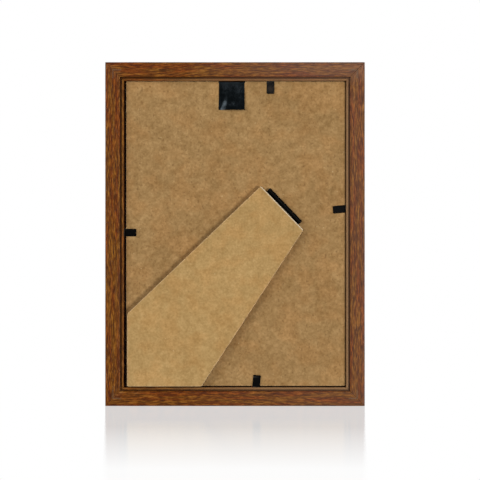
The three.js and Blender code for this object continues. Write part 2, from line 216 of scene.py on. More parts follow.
def wood_grain(s, along_x):
    """Printed wood grain: its colour, its streaks and its pores."""

    def grain(length, width, **settings):
        across = 1 / width
        scale = (1 / length, across, across) if along_x else (across, across, 1 / length)
        return s.noise(s.stretched(scale), **settings)

    streaks = grain(4.4 * MM, 0.52 * MM, detail=4, roughness=0.64, distortion=0.2)
    wood = s.ramp(streaks, [
        (0.36, srgb(76, 39, 5)),
        (0.46, srgb(104, 59, 11)),
        (0.54, srgb(133, 82, 24)),
        (0.64, srgb(164, 111, 50)),
    ])
    bands = grain(26 * MM, 2.4 * MM, detail=3, roughness=0.55)
    tint = s.ramp(bands, [
        (0.40, srgb(250, 206, 160)),
        (0.50, srgb(250, 234, 200)),
        (0.60, srgb(255, 250, 208)),
    ])
    wood = s.mix(1.0, wood, tint, "MULTIPLY")
    long_streaks = grain(30 * MM, 0.7 * MM, detail=2, roughness=0.5)
    wood = s.mix(s.between(long_streaks, 0.56, 0.66, 0, 0.55), wood, srgb(72, 32, 10))
    pores = s.between(grain(3.4 * MM, 0.24 * MM, detail=2), 0.58, 0.68)
    wood = s.mix(s.math("MULTIPLY", pores, 0.45), wood, srgb(46, 22, 8))
    return wood, streaks, pores


def raw_rib_painted_shade(s, wood, x, z):
    """Raw fibreboard, with painted shade in the wood foil's colour towards one side and at the top."""
    fibres = s.noise(s.position(), scale=1 / (0.5 * MM), detail=3, roughness=0.6)
    raw = s.ramp(fibres, [(0.35, srgb(126, 92, 58)), (0.65, srgb(160, 124, 84))])
    # painted shade, stronger towards +X and at the top
    painted_shade = s.math("MAXIMUM", s.between(x, -20 * MM, 60 * MM, 0.05, 0.85),
                     s.between(z, 0.9 * TOP, 0.95 * TOP, 0, 0.45))
    return s.mix(painted_shade, raw, wood)


def painted_groove_shade(s, inward, y):
    """How much painted shade darkens the groove in the back face: 0 outside it."""
    soft = 0.1 * MM
    across = s.math("MULTIPLY", s.between(inward, GROOVE[0], GROOVE[0] + soft),
                    s.between(inward, GROOVE[1] - soft, GROOVE[1], 1, 0))
    low = s.between(y, BACK - RIB_DROP, BACK - soft, 1, 0)
    return s.math("MULTIPLY", across, s.math("MULTIPLY", low, 0.75))


def nail_marks(s, from_side, from_end, y):
    """How far the foil is lifted pale along the legs of each corner nail."""
    end = NAIL_INSET + NAIL_LEG

    def leg(across, along):
        near = s.math("ABSOLUTE", s.math("SUBTRACT", across, NAIL_INSET + 0.15 * MM))
        line = s.between(near, 0.2 * MM, 0.75 * MM, 1, 0)
        reach = s.between(along, end, end + 0.5 * MM, 1, 0)
        start = s.between(along, NAIL_INSET - 0.5 * MM, NAIL_INSET)
        return s.math("MULTIPLY", line, s.math("MULTIPLY", reach, start))

    nail = s.math("MAXIMUM", leg(from_side, from_end), leg(from_end, from_side))
    nail = s.math("MULTIPLY", nail, s.between(y, BACK - 1 * MM, BACK - 0.5 * MM))
    patchy = s.noise(s.position(), scale=1 / (0.9 * MM), detail=2)
    return s.math("MULTIPLY", nail, s.between(patchy, 0.40, 0.64, 0.0, 0.38))


def rail_foil(name, along_x):
    """Printed wood-grain foil, with the raw rib, the marks of the corner nails, painted shade in the groove and on
    the rib, and a painted sheen.
    """
    s = Shading(name)
    wood, streaks, pores = wood_grain(s, along_x)
    x, y, z = s.split()
    from_side = s.math("SUBTRACT", HALF_WIDTH, s.math("ABSOLUTE", x))
    from_end = s.math("MINIMUM", z, s.math("SUBTRACT", TOP, z))
    inward = s.math("MINIMUM", from_side, from_end)

    rib = s.between(inward, GROOVE[0] + 0.3 * MM, GROOVE[0] + 0.6 * MM)
    rib = s.math("MULTIPLY", rib, s.between(y, 0, 1 * MM))
    groove_painted_shade = painted_groove_shade(s, inward, y)
    colour = s.mix(rib, wood, raw_rib_painted_shade(s, wood, x, z))
    # painted shade darkens the groove
    colour = s.mix(groove_painted_shade, colour, srgb(40, 20, 6))
    colour = s.mix(nail_marks(s, from_side, from_end, y), colour, srgb(158, 118, 88))

    # painted sheen, a pale soft reflection of the lamps, strongest towards one side of the frame and along the top
    sheen_strength = s.between(z, TOP - 14 * MM, TOP - 4 * MM, 0.07, 0.20)
    painted_sheen = s.math("MULTIPLY", s.between(x, 30 * MM, -50 * MM), sheen_strength)
    colour = s.mix(painted_sheen, colour, srgb(156, 130, 119))

    # rubbed arrises
    edge = s.between(s.pointiness(), 0.54, 0.62)
    worn = s.math("MULTIPLY", edge, s.between(streaks, 0.45, 0.6))
    colour = s.mix(s.math("MULTIPLY", worn, 0.35), colour, srgb(150, 106, 66))

    dull = s.math("MAXIMUM", rib, groove_painted_shade)
    height = s.math("SUBTRACT", s.math("MULTIPLY", streaks, 0.4), pores)
    return s.finish(
        Base_Color=colour,
        Roughness=s.between(streaks, 0.3, 0.7, 0.40, 0.30),
        Specular_IOR_Level=s.between(dull, 0, 1, 0.17, 0.05),
        Normal=s.bump(height, 0.05 * MM, 0.55),
    )


def fibreboard(name, mid, spread, speck, shine, highlight_edge=None):
    """Pressed fibreboard: soft mottling, fine fibres and scattered dark and pale specks.

    The optional last argument is (direction, distance) of an edge with a pale painted highlight along it.
    """
    s = Shading(name)
    here = s.position()
    clouds = s.noise(here, scale=1 / (22 * MM), detail=2, roughness=0.5)
    mottle = s.noise(here, scale=1 / (4.2 * MM), detail=3, roughness=0.55)
    fibres = s.noise(here, scale=1 / (1.3 * MM), detail=3, roughness=0.6)
    both = s.math("MULTIPLY_ADD", mottle, 0.34, s.math("MULTIPLY", clouds, 0.20))
    shade = s.math("MULTIPLY_ADD", fibres, 0.46, both)
    dark = tuple(value - change for value, change in zip(mid, spread))
    pale = tuple(value + change for value, change in zip(mid, spread))
    colour = s.ramp(shade, [(0.36, srgb(*dark)), (0.50, srgb(*mid)), (0.64, srgb(*pale))])
    warm = s.noise(here, scale=1 / (11 * MM), detail=2)
    warmed = s.mix(1.0, colour, srgb(255, 236, 216), "MULTIPLY")
    colour = s.mix(s.between(warm, 0.42, 0.62, 0, 0.4), colour, warmed)

    specks = s.noise(here, scale=1 / (1.4 * MM), detail=1.5, roughness=0.4)
    colour = s.mix(s.between(specks, 0.62, 0.74, 0, speck), colour, srgb(104, 72, 36))
    flecks = s.noise(s.stretched((1, 1, 1), turn=(0.7, 0.4, 1.1)), scale=1 / (1.9 * MM), detail=1)
    colour = s.mix(s.between(flecks, 0.77, 0.81, 0, 0.5), colour, srgb(220, 192, 142))
    if highlight_edge:
        direction, line = highlight_edge
        along = s.vector("DOT_PRODUCT", here, direction)
        # a pale painted highlight along that edge
        painted_highlight = s.between(along, line + 0.45 * MM, line + 0.8 * MM, 0.8, 0)
        colour = s.mix(painted_highlight, colour, srgb(232, 214, 184))
    return s.finish(
        Base_Color=colour,
        Roughness=s.between(mottle, 0.3, 0.7, shine + 0.08, shine - 0.06),
        Specular_IOR_Level=0.2,
        Normal=s.bump(s.math("ADD", fibres, s.math("MULTIPLY", mottle, 0.6)), 0.06 * MM, 0.5),
    )


def black_steel(name, rub, gloss, highlight_patch=None):
    """Black-finished mild steel with fine scratches, a rubbed edge and maybe a painted highlight patch."""
    s = Shading(name)
    grime = s.noise(s.position(), scale=1 / (1.6 * MM), detail=4, roughness=0.6)
    scratch = s.noise(s.stretched((1 / (3 * MM), 1 / MM, 1 / (0.12 * MM))), detail=2)
    base = s.ramp(grime, [(0.3, srgb(1, 1, 1)), (0.7, srgb(7, 6, 5))])
    edge = s.between(s.pointiness(), 0.55, 0.66, 0, rub)
    colour = s.mix(edge, base, srgb(120, 116, 110))
    if highlight_patch:
        # a painted highlight: a brown-grey patch round that point
        off = s.vector("DISTANCE", s.position(), highlight_patch)
        worn = s.between(off, 0.7 * MM, 2.8 * MM, 1, 0)
        worn = s.math("MULTIPLY", worn, s.between(grime, 0.3, 0.55, 0.55, 1))
        colour = s.mix(worn, colour, srgb(44, 35, 27))
    return s.finish(
        Base_Color=colour,
        Specular_IOR_Level=gloss,
        Roughness=s.between(scratch, 0.35, 0.65, 0.50, 0.36),
        Normal=s.bump(scratch, 0.01 * MM, 0.4),
    )


def bright_steel(name, mid, shine):
    """Bare drawn steel with faint stains."""
    s = Shading(name)
    drawn = s.noise(s.stretched((1 / (0.15 * MM), 1 / (0.15 * MM), 1 / (2 * MM))), detail=3)
    stain = s.noise(s.position(), scale=1 / (1.1 * MM), detail=3)
    low = srgb(*(value * 0.66 for value in mid))
    return s.finish(
        Base_Color=s.ramp(stain, [(0.34, low), (0.62, srgb(*mid))]),
        Metallic=shine,
        Roughness=s.between(drawn, 0.3, 0.7, 0.42, 0.28),
        Normal=s.bump(drawn, 0.01 * MM, 0.3),
    )


def vinyl(name):
    """Glossy black vinyl tape with finger-rub haze and a faint calendered grain."""
    s = Shading(name)
    haze = s.noise(s.position(), scale=1 / (4 * MM), detail=4, roughness=0.6)
    grain = s.noise(s.position(), scale=1 / (0.35 * MM), detail=2)
    waves = s.noise(s.position(), scale=1 / (5 * MM), detail=1)
    fine = s.bump(grain, 0.01 * MM, 0.25)
    return s.finish(
        Base_Color=s.ramp(haze, [(0.35, srgb(0, 1, 1)), (0.7, srgb(2, 4, 6))]),
        Roughness=s.between(haze, 0.35, 0.7, 0.17, 0.28),
        Specular_IOR_Level=0.30,
        Specular_Tint=(0.72, 0.88, 1.0, 1.0),
        Normal=s.bump(waves, 0.25 * MM, 0.35, after=fine),
    )


def clear_glass(name):
    """Float glass with a little dust haze."""
    s = Shading(name)
    dust = s.noise(s.position(), scale=1 / (9 * MM), detail=5, roughness=0.7)
    return s.finish(
        Base_Color=s.ramp(dust, [(0.2, srgb(236, 244, 241)), (0.8, srgb(248, 252, 251))]),
        Roughness=s.between(dust, 0.55, 0.8, 0.032, 0.045),
        Transmission_Weight=1.0,
        IOR=1.46,
    )


def paper_board(name, mid, pale):
    """Uncoated board or its paper core: matt, with pulp fibres."""
    s = Shading(name)
    pulp = s.noise(s.position(), scale=1 / (0.5 * MM), detail=4, roughness=0.65)
    cloud = s.noise(s.position(), scale=1 / (18 * MM), detail=2)
    tone = s.math("MULTIPLY_ADD", pulp, 0.6, s.math("MULTIPLY", cloud, 0.4))
    return s.finish(
        Base_Color=s.ramp(tone, [(0.3, srgb(*mid)), (0.7, srgb(*pale))]),
        Roughness=s.between(pulp, 0.3, 0.7, 0.92, 0.78),
        Normal=s.bump(pulp, 0.04 * MM, 0.5),
    )


def flock(name, mid, pale):
    """Short-pile flock or felt: soft fibres with a sheen at grazing angles."""
    s = Shading(name)
    pile = s.noise(s.position(), scale=1 / (0.28 * MM), detail=3, roughness=0.7)
    nap = s.noise(s.position(), scale=1 / (9 * MM), detail=3)
    tone = s.math("MULTIPLY_ADD", pile, 0.65, s.math("MULTIPLY", nap, 0.35))
    return s.finish(
        Base_Color=s.ramp(tone, [(0.32, srgb(*mid)), (0.68, srgb(*pale))]),
        Roughness=0.95,
        Sheen_Weight=0.45,
        Sheen_Roughness=0.5,
        Normal=s.bump(pile, 0.12 * MM, 0.9),
    )


foil_x = rail_foil("rail_foil_x", True)
foil_z = rail_foil("rail_foil_z", False)
board_material = fibreboard("fibreboard", (168, 132, 83), (21, 19, 16), 0.4, 0.75)
board_edge_material = fibreboard("fibreboard_edge", (190, 156, 108), (26, 24, 20), 0.5, 0.85)
tab_material = black_steel("tab_steel", 0.25, 0.05)
# centre of the painted highlight on the top tab
top_tab_highlight_centre = Vector(joints["tab_bend_top"]["pos_m"]) - Vector((0, 0, 4.2 * MM))
top_tab_highlight_material = black_steel("tab_steel_painted_highlight", 0.4, 0.12, highlight_patch=top_tab_highlight_centre)
hinge_material = black_steel("hinge_steel", 0.3, 0.08)
pin_material = bright_steel("pin_steel", (66, 64, 62), 0.6)
nail_material = bright_steel("nail_steel", (124, 92, 64), 0.3)
vinyl_material = vinyl("black_vinyl")
glass_material = clear_glass("glazing_glass")
mount_material = paper_board("mount_board", (22, 27, 42), (34, 40, 58))
core_material = paper_board("mount_core", (214, 206, 188), (236, 230, 216))
tray_material = flock("tray_flock", (14, 16, 24), (34, 38, 50))
felt_material = flock("liner_felt", (16, 22, 44), (36, 46, 76))


# ---- mesh helpers --------------------------------------------------------------------


def add_piece(name, mesh, materials, body, node, smooth_angle=35):
    """Makes an object of a bmesh that stands for a CAD node and rides on its body."""
    bmesh.ops.recalc_face_normals(mesh, faces=mesh.faces[:])
    data = bpy.data.meshes.new(name)
    mesh.to_mesh(data)
    mesh.free()
    for material in materials:
        data.materials.append(material)
    data.shade_smooth()
    data.set_sharp_from_angle(angle=math.radians(smooth_angle))
    made = bpy.data.objects.new(name, data)
    bpy.context.scene.collection.objects.link(made)
    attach(made, body)
    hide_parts(node)
    return made


def rounded(corners):
    """A closed outline of (a, b, radius) corners, each rounded by a fillet of that radius."""
    steps = 5
    outline = []
    for i, (a, b, radius) in enumerate(corners):
        corner = Vector((a, b))
        before = Vector(corners[i - 1][:2]) - corner
        after = Vector(corners[(i + 1) % len(corners)][:2]) - corner
        if radius <= 0:
            outline.append(corner)
            continue
        half = before.angle(after) / 2
        reach = radius / math.tan(half)
        start = corner + before.normalized() * reach
        end = corner + after.normalized() * reach
        middle = corner + (before.normalized() + after.normalized()).normalized() * (
            radius / math.sin(half)
        )
        sweep = (start - middle).angle_signed(end - middle)
        for k in range(steps + 1):
            turn = Matrix.Rotation(-sweep * k / steps, 2)
            outline.append(middle + turn @ (start - middle))
    return outline


def resampled(outline, step):
    """The outline with extra points, so that its sides are about step long at most."""
    points = []
    for i, point in enumerate(outline):
        following = outline[(i + 1) % len(outline)]
        count = max(1, round((following - point).length / step))
        points += [point.lerp(following, k / count) for k in range(count)]
    return points


def signed_area(outline):
    return sum(
        p.x * q.y - q.x * p.y for p, q in zip(outline, outline[1:] + outline[:1])
    ) / 2


def inset_points(outline, amount):
    """Moves each point inwards along the mean normal of its two sides."""
    turn = 1 if signed_area(outline) > 0 else -1
    moved = []
    for i, point in enumerate(outline):
        ahead = outline[(i + 1) % len(outline)] - point
        behind = point - outline[i - 1]
        normals = [Vector((-side.y, side.x)).normalized() * turn for side in (ahead, behind)]
        mean = (normals[0] + normals[1]).normalized()
        moved.append(point + mean * amount / max(0.35, mean.dot(normals[0])))
    return moved


def ring(mesh, points, place):
    """One closed loop of vertices; place turns (a, b) into a position."""
    return [mesh.verts.new(place(point)) for point in points]


def skin(mesh, rings, material=0):
    """Quads between each ring and the next."""
    for low, high in zip(rings, rings[1:]):
        for i in range(len(low)):
            j = (i + 1) % len(low)
            mesh.faces.new((low[i], low[j], high[j], high[i])).material_index = material


def cap(mesh, *loops):
    """Fills the flat region that the closed loops bound, the same way each run."""
    corners = [vertex for loop in loops for vertex in loop]
    outlines = [[vertex.co for vertex in loop] for loop in loops]
    for triangle in geometry.tessellate_polygon(outlines):
        mesh.faces.new([corners[i] for i in triangle])


def closed_tube(mesh, rings, material=0):
    """Quads between the rings and a cap on each end."""
    skin(mesh, rings, material)
    cap(mesh, rings[0])
    cap(mesh, rings[-1])


def arris(low, high, radius, steps=3):
    """(inset, height) pairs from the low face round both edges to the high face."""
    turn = [math.pi / 2 * k / steps for k in range(steps + 1)]
    lower = [(radius * (1 - math.sin(a)), low + radius * (1 - math.cos(a))) for a in turn]
    upper = [(radius * (1 - math.cos(a)), high - radius * (1 - math.sin(a))) for a in turn]
    return lower + upper


def frayed(point, height, amount):
    """A small in-plane shift, the same each run, for a sawn fibre edge."""
    fibre = 0.9 * MM
    here = Vector((point.x, point.y, height)) / fibre
    elsewhere = here + Vector((0, 0, 37))
    return point + Vector((noise.noise(here), noise.noise(elsewhere))) * amount


def sheet_rings(mesh, outline, profile, place, fray=0.0):
    """Rings of an outline following an (inset, height) profile."""
    made = []
    for inset, height in profile:
        points = inset_points(outline, inset)
        if fray:
            points = [frayed(point, height, fray) for point in points]
        made.append(ring(mesh, points, lambda p, h=height: place(p, h)))
    return made


def flat(point, height):
    """(x, z) in the frame's plane at that y."""
    return Vector((point.x, height, point.y))


def slab(name, outline, low, high, radius, materials, body, node, place=flat, fray=0.0):
    """A flat panel with rounded arrises; a second material goes on the cut edges."""
    mesh = bmesh.new()
    rings = sheet_rings(mesh, outline, arris(low, high, radius), place, fray)
    closed_tube(mesh, rings, len(materials) - 1)
    add_piece(name, mesh, materials, body, node, smooth_angle=8)


def panel_outline(low, high, corner, step):
    """The rounded rectangle that a box fills in the frame's plane."""
    return resampled(rounded([
        (low.x, low.z, corner),
        (high.x, low.z, corner),
        (high.x, high.z, corner),
        (low.x, high.z, corner),
    ]), step)


# ---- rails ---------------------------------------------------------------------------


def rail_section():
    """The rail's section as (distance in from the outer edge, y)."""
    ledge = FRONT + 3.5 * MM
    floor = BACK - GROOVE_DEPTH
    return resampled(rounded([
        (0, BACK, 0.55 * MM),
        (0, FRONT, 2.4 * MM),
        (RAIL_WIDTH - 1.2 * MM, FRONT, 0.5 * MM),
        (RAIL_WIDTH, FRONT + 1.2 * MM, 0.4 * MM),
        (RAIL_WIDTH, ledge, 0.15 * MM),
        (REBATE, ledge, 0),
        (REBATE, BACK - RIB_DROP, 0.22 * MM),
        (GROOVE[1], BACK - RIB_DROP, 0.18 * MM),
        (GROOVE[1], floor, 0.15 * MM),
        (GROOVE[0], floor, 0.15 * MM),
        (GROOVE[0], BACK, 0.3 * MM),
    ]), 1.6 * MM)


def rail(name, length, place, material):
    """A rail swept along its length, mitred at both ends with a hair of a joint line."""
    section = rail_section()
    stations = 64
    joint_line = 0.10 * MM
    gap = 0.03 * MM
    warp = 0.035 * MM
    warp_length = 14 * MM
    mesh = bmesh.new()
    rings = []
    for k in range(-1, stations + 2):
        share = min(max(k / stations, 0), 1) * 2 - 1
        ending = k in (-1, stations + 1)
        points = inset_points(section, joint_line) if ending else section
        shorten = gap if ending else gap + joint_line

        def put(point, share=share, shorten=shorten):
            along = share * (length / 2 - point.x - shorten)
            sway = noise.noise(place(along, point.y, point.x) / warp_length) * warp
            return place(along, point.y + sway * (point.y > 0), point.x + sway)

        rings.append(ring(mesh, points, put))
    closed_tube(mesh, rings)
    add_piece(f"{name}_foiled", mesh, [material], "frame", name, smooth_angle=30)


def rails():
    """Each place function takes a length along the rail, y and a distance inwards."""
    middle = TOP / 2
    height, width = TOP, HALF_WIDTH * 2
    rail("rail_bottom", width, lambda a, y, u: Vector((a, y, u)), foil_x)
    rail("rail_top", width, lambda a, y, u: Vector((-a, y, TOP - u)), foil_x)
    rail("rail_right", height, lambda a, y, u: Vector((HALF_WIDTH - u, y, middle + a)), foil_z)
    rail("rail_left", height, lambda a, y, u: Vector((u - HALF_WIDTH, y, middle - a)), foil_z)


# ---- boards --------------------------------------------------------------------------


def backing_board():
    """The board, with the notch in its top edge that the pull tab passes through."""
    low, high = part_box("backing_board")
    tape_low, tape_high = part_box("pull_tab_anchor")
    notch = high.z - 0.8 * MM
    left, right = tape_low.x - 0.4 * MM, tape_high.x + 0.4 * MM
    corner = 0.6 * MM
    outline = rounded([
        (low.x, low.z, corner),
        (high.x, low.z, corner),
        (high.x, high.z, corner),
        (right, high.z, 0.2 * MM),
        (right, notch, 0),
        (left, notch, 0),
        (left, high.z, 0.2 * MM),
        (low.x, high.z, corner),
    ])
    slab("backing_board_panel", resampled(outline, 0.8 * MM), low.y, high.y, 0.28 * MM,
         [board_material, board_edge_material], "frame", "backing_board",
         fray=0.07 * MM)


def convex_outline(points):
    """The convex outline of 2-D points, anticlockwise."""
    ordered = sorted({(round(p.x, 7), round(p.y, 7)) for p in points})

    def half(sequence):
        chain = []
        for x, y in sequence:
            while len(chain) > 1:
                (x1, y1), (x2, y2) = chain[-2], chain[-1]
                if (x2 - x1) * (y - y1) - (y2 - y1) * (x - x1) > 1e-12:
                    break
                chain.pop()
            chain.append((x, y))
        return chain[:-1]

    return [Vector(p) for p in half(ordered) + half(ordered[::-1])]


def strut_axes():
    """The strut's own directions at rest: along the pin, out of its back, towards its foot."""
    faces = frame["nodes"]["strut_panel"].data.polygons
    out = max(faces, key=lambda face: face.area).normal.copy()
    out = out if out.y > 0 else -out
    return HINGE_AXIS, out, HINGE_AXIS.cross(out) * -1


def hinge_place(axes):
    """Places a point (along the pin, towards the foot) at a height above the pin."""
    along, out, foot = axes
    return lambda point, height: HINGE_AT + along * point.x + out * height + foot * point.y


STRUT_AXES = strut_axes()
BOARD_AXES = (HINGE_AXIS, Vector((0, 1, 0)), HINGE_AXIS.cross(Vector((0, 1, 0))) * -1)
on_strut = hinge_place(STRUT_AXES)
on_board = hinge_place(BOARD_AXES)


def in_strut(node):
    """A node's vertices as (along the pin, towards the foot) and height above the pin."""
    along, out, foot = STRUT_AXES
    vertices = [vertex.co - HINGE_AT for vertex in frame["nodes"][node].data.vertices]
    plan = [Vector((v.dot(along), v.dot(foot))) for v in vertices]
    heights = [v.dot(out) for v in vertices]
    return plan, min(heights), max(heights)


def strut_panel():
    plan, low, high = in_strut("strut_panel")
    outline = resampled(convex_outline(plan), 0.8 * MM)
    # a pale painted highlight along the edge by the hinge
    inward = STRUT_AXES[2]
    highlight_edge = (inward, inward.dot(HINGE_AT) + min(point.y for point in plan))
    face = fibreboard("strut_board", (187, 151, 95), (17, 16, 14), 0.15, 0.7, highlight_edge)
    # the cut edges are paler: raw fibre, and partly a painted highlight along the arris
    edge = fibreboard("strut_edge", (205, 172, 124), (24, 22, 19), 0.4, 0.85, highlight_edge)
    slab("strut_board", outline, low, high, 0.45 * MM, [face, edge],
         "strut", "strut_panel", place=on_strut, fray=0.06 * MM)


# ---- hinge ---------------------------------------------------------------------------

LEAF_NEAR = KNUCKLE_RADIUS + 0.25 * MM   # from the pin to the flat of a leaf
LEAF_REACH = 14 * MM
LEAF_HALF_WIDTH = 13 * MM


def tongue_path(middle):
    """(foot, height) places and normals: in from the leaf, then almost once round the pin."""
    steps = 30
    turned = math.radians(330) * (1 if middle < 0 else -1)
    radius = KNUCKLE_RADIUS - LEAF_THICKNESS / 2
    start = math.asin(max(-1, min(1, middle / radius)))
    path = [(LEAF_NEAR + 0.3 * MM, middle, 0.0, 1.0)]
    for k in range(steps + 1):
        foot = math.cos(start + turned * k / steps)
        up = math.sin(start + turned * k / steps)
        path.append((radius * foot, radius * up, foot, up))
    return path


def rolled_knuckle(mesh, place, middle, low, high):
    """A tongue of the leaf, from low to high along the pin, rolled round it."""
    play = 0.06 * MM
    low, high = low + play, high - play
    side = LEAF_THICKNESS / 2
    loops = []
    for foot, up, normal_foot, normal_up in tongue_path(middle):
        corners = [(low, side), (high, side), (high, -side), (low, -side)]
        loops.append([
            mesh.verts.new(place(Vector((a, foot + normal_foot * b)), up + normal_up * b))
            for a, b in corners
        ])
    closed_tube(mesh, loops)


def rolled_leaf(node, place, knuckles, height, body):
    """A leaf of sheet steel whose tongues roll round the pin; knuckles are (from, to)."""
    mesh = bmesh.new()
    outline = resampled(rounded([
        (-LEAF_HALF_WIDTH, LEAF_NEAR, 0.4 * MM),
        (LEAF_HALF_WIDTH, LEAF_NEAR, 0.4 * MM),
        (LEAF_HALF_WIDTH, LEAF_REACH, 2 * MM),
        (-LEAF_HALF_WIDTH, LEAF_REACH, 2 * MM),
    ]), 2 * MM)
    profile = arris(height, height + LEAF_THICKNESS, 0.1 * MM, 2)
    closed_tube(mesh, sheet_rings(mesh, outline, profile, place))
    for low, high in knuckles:
        rolled_knuckle(mesh, place, height + LEAF_THICKNESS / 2, low, high)
    made = add_piece(f"{node}_rolled", mesh, [hinge_material], body, node)
    edge = made.modifiers.new("rolled_edges", "BEVEL")
    edge.width = 0.07 * MM
    edge.segments = 2
    edge.limit_method = "ANGLE"
    edge.angle_limit = math.radians(50)


def hinge():
    half = 13.6 * MM
    inner = 6.15 * MM
    middle = 6 * MM
    rolled_leaf("hinge_board_leaf", on_board, [(-half, -inner), (inner, half)],
                -KNUCKLE_RADIUS, "frame")
    rolled_leaf("hinge_strut_leaf", on_strut, [(-middle, middle)],
                -LEAF_THICKNESS / 2, "strut")


# ---- bendable tabs -------------------------------------------------------------------


def tab_flap(wall):
    """A soft steel tab end: rounded, slightly crowned across and lifted at its tip."""
    joint = joints[f"tab_bend_{wall}"]
    centre = Vector(joint["pos_m"])
    across = Vector(joint["axis"]).normalized()
    out = Vector((0, 1, 0))
    ahead = out.cross(across)
    vertices = [v.co - centre for v in frame["nodes"][f"tab_flap_{wall}"].data.vertices]
    reaches = [v.dot(ahead) for v in vertices]
    if max(reaches) < -min(reaches):
        ahead = -ahead
    reach = max(abs(length) for length in reaches)
    half = max(abs(v.dot(across)) for v in vertices)
    thick = max(v.y for v in vertices)
    crown = 0.12 * MM
    lift = 0.10 * MM

    def place(point, height):
        share = point.y / reach
        raised = crown * (1 - (point.x / half) ** 2) * share + lift * share * share
        return centre + across * point.x + ahead * point.y + out * (height + raised)

    outline = resampled(rounded([
        (-half, -thick * 0.8, 0),
        (half, -thick * 0.8, 0),
        (half, reach, 0.55 * MM),
        (-half, reach, 0.55 * MM),
    ]), 0.5 * MM)
    steel = top_tab_highlight_material if wall == "top" else tab_material
    slab(f"tab_{wall}_blade", outline, -thick, thick, 0.12 * MM, [steel],
         f"tab_{wall}", f"tab_flap_{wall}", place=place)


# ---- pull tab ------------------------------------------------------------------------


def smoothstep(value):
    value = min(1, max(0, value))
    return value * value * (3 - 2 * value)


def tape_stand(across, down):
    """How far the tape stands off the board: across is -1 to 1, down 0 to 1 at its tip."""
    bow = 1.55 * MM * down**1.7
    # one side edge falls back to the board
    side = smoothstep((across - 0.36 + 0.40 * (1 - down)) / 0.58)
    fall = 0.9 * bow * side * smoothstep((down - 0.30) / 0.2)
    dent = 0.22 * MM * math.exp(-(((across - 0.1) / 0.6) ** 2) - ((down - 0.84) / 0.1) ** 2)
    folds = Vector((across * 1.7, down * 2.1, 0.4)) * 1.6
    pucker = noise.noise(folds) * 0.14 * MM * down
    return bow - fall - dent + pucker


def pull_tab():
    """A strip of tape that hangs over the board, its free corner curling off."""
    low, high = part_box("pull_tab_flap")
    bend = Vector(joints["pull_tab_lift"]["pos_m"])
    reach = bend.z - low.z
    middle = (low.x + high.x) / 2
    half = (high.x - low.x) / 2
    thickness = 0.25 * MM
    taper = 0.03
    tuck = 0.17 * MM         # how far the first row runs up into the fold
    columns, rows = 36, 40
    mesh = bmesh.new()

    def surface(i, j, side):
        across = i / columns * 2 - 1
        down = j / rows
        ragged = noise.noise(Vector((across * 9, down * 9, 3.1))) * 0.06 * MM
        x = middle + across * half * (1 - taper * (1 - down)) + ragged
        y = bend.y + tape_stand(across, down) + side * thickness / 2
        return Vector((x, y, bend.z + tuck * (j == 0) - reach * down))

    grids = [
        [[mesh.verts.new(surface(i, j, side)) for i in range(columns + 1)] for j in range(rows + 1)]
        for side in (-1, 1)
    ]
    for grid in grids:
        for j in range(rows):
            for i in range(columns):
                mesh.faces.new((grid[j][i], grid[j][i + 1], grid[j + 1][i + 1], grid[j + 1][i]))
    border = [(j, 0) for j in range(rows)] + [(rows, i) for i in range(columns)]
    border += [(j, columns) for j in range(rows, 0, -1)] + [(0, i) for i in range(columns, 0, -1)]
    skin(mesh, [[grid[j][i] for j, i in border] for grid in grids])
    add_piece("pull_tab_tape", mesh, [vinyl_material], "pull_tab",
              "pull_tab_flap", smooth_angle=50)


# ---- display side --------------------------------------------------------------------


def coin_centres():
    """(x, z) of each coin's place."""
    return [
        (sum(opening["box_m"][k][0] for k in (0, 1)) / 2,
         sum(opening["box_m"][k][2] for k in (0, 1)) / 2)
        for opening in frame["record"]["physics"]["openings"]
        if opening["name"].startswith("coin_pocket")
    ]


def circle(x, z, radius, count=96):
    turns = [2 * math.pi * k / count for k in range(count)]
    return [Vector((x + radius * math.cos(a), z + radius * math.sin(a))) for a in turns]


def pierced_sheet(name, node, hole_profile, edge, materials, hole_material):
    """A sheet with a round hole at each coin place. hole_profile is (radius, y) pairs."""
    low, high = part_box(node)
    outline = panel_outline(low, high, 0.4 * MM, 6 * MM)
    mesh = bmesh.new()
    outer = sheet_rings(mesh, outline, arris(low.y, high.y, edge), flat)
    skin(mesh, outer)
    fronts, backs = [outer[0]], [outer[-1]]
    for x, z in coin_centres():
        rings = [ring(mesh, circle(x, z, radius), lambda p, y=y: flat(p, y))
                 for radius, y in hole_profile]
        skin(mesh, rings, hole_material)
        fronts.append(rings[0])
        backs.append(rings[-1])
    cap(mesh, *fronts)
    cap(mesh, *backs)
    add_piece(name, mesh, materials, "frame", node, smooth_angle=20)


def face_mount():
    """Its windows are cut at a slant, which shows the board's pale core."""
    low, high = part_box("face_mount")
    window = 20.5 * MM
    pierced_sheet(
        "face_mount_cut", "face_mount",
        [(window, low.y), (window - 0.2 * MM, low.y + 0.15 * MM),
         (window - 0.8 * MM, high.y)],
        0.12 * MM, [mount_material, core_material], 1,
    )


def coin_tray():
    """Its pockets have rounded lips at the front."""
    low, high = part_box("coin_tray")
    pocket = 23.25 * MM
    lip = [(pocket + r, low.y + d) for r, d in arris(0, 4 * MM, 0.7 * MM, 4)[:5]]
    pierced_sheet(
        "coin_tray_flocked", "coin_tray", lip + [(pocket, high.y)],
        0.3 * MM, [tray_material], 0,
    )


def plain_panel(name, node, corner, step, edge, material):
    """A flat sheet in the rebate with nothing cut in it."""
    low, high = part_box(node)
    outline = panel_outline(low, high, corner, step)
    slab(name, outline, low.y, high.y, edge, [material], "frame", node)


def liner_card():
    plain_panel("liner_card_felted", "liner_card", 0.5 * MM, 4 * MM, 0.15 * MM,
                felt_material)


def glazing():
    plain_panel("glazing_pane", "glazing", 0.3 * MM, 8 * MM, 0.2 * MM,
                glass_material)


# ---- small CAD pieces that keep their shape ------------------------------------------


